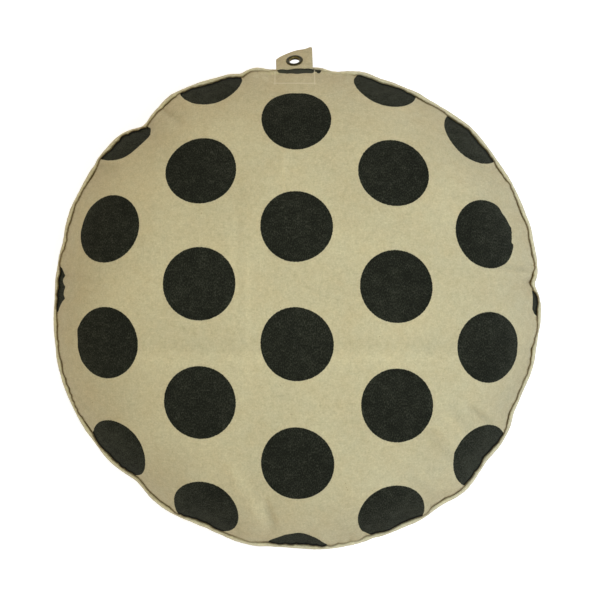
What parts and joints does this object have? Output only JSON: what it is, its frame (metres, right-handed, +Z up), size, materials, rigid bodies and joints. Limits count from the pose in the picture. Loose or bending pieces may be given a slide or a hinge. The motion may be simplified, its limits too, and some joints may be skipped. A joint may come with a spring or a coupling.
{
  "type": "floor pouf",
  "caption": "Round filled floor pouf in dotted canvas with a piped edge seam and a folded hanging tab with a metal eyelet.",
  "frame": {"origin": "centre of the flat underside that rests on the floor", "axes": "+Z up through the crown, +Y towards the hanging tab, +X to the right of the tab as seen from above"},
  "size_m": [0.5995, 0.6181, 0.238],
  "materials": {
    "printed_canvas": "washed matt cotton canvas, beige with large charcoal dots",
    "plain_canvas": "washed matt cotton canvas, plain beige",
    "old_brass": "dark antique brass, worn brighter on the rim"
  },
  "bodies": {
    "root": {"cushion": "printed_canvas", "piping": "plain_canvas", "tab": "plain_canvas", "eyelet": "old_brass", "washer": "old_brass"}
  },
  "joints": []
}
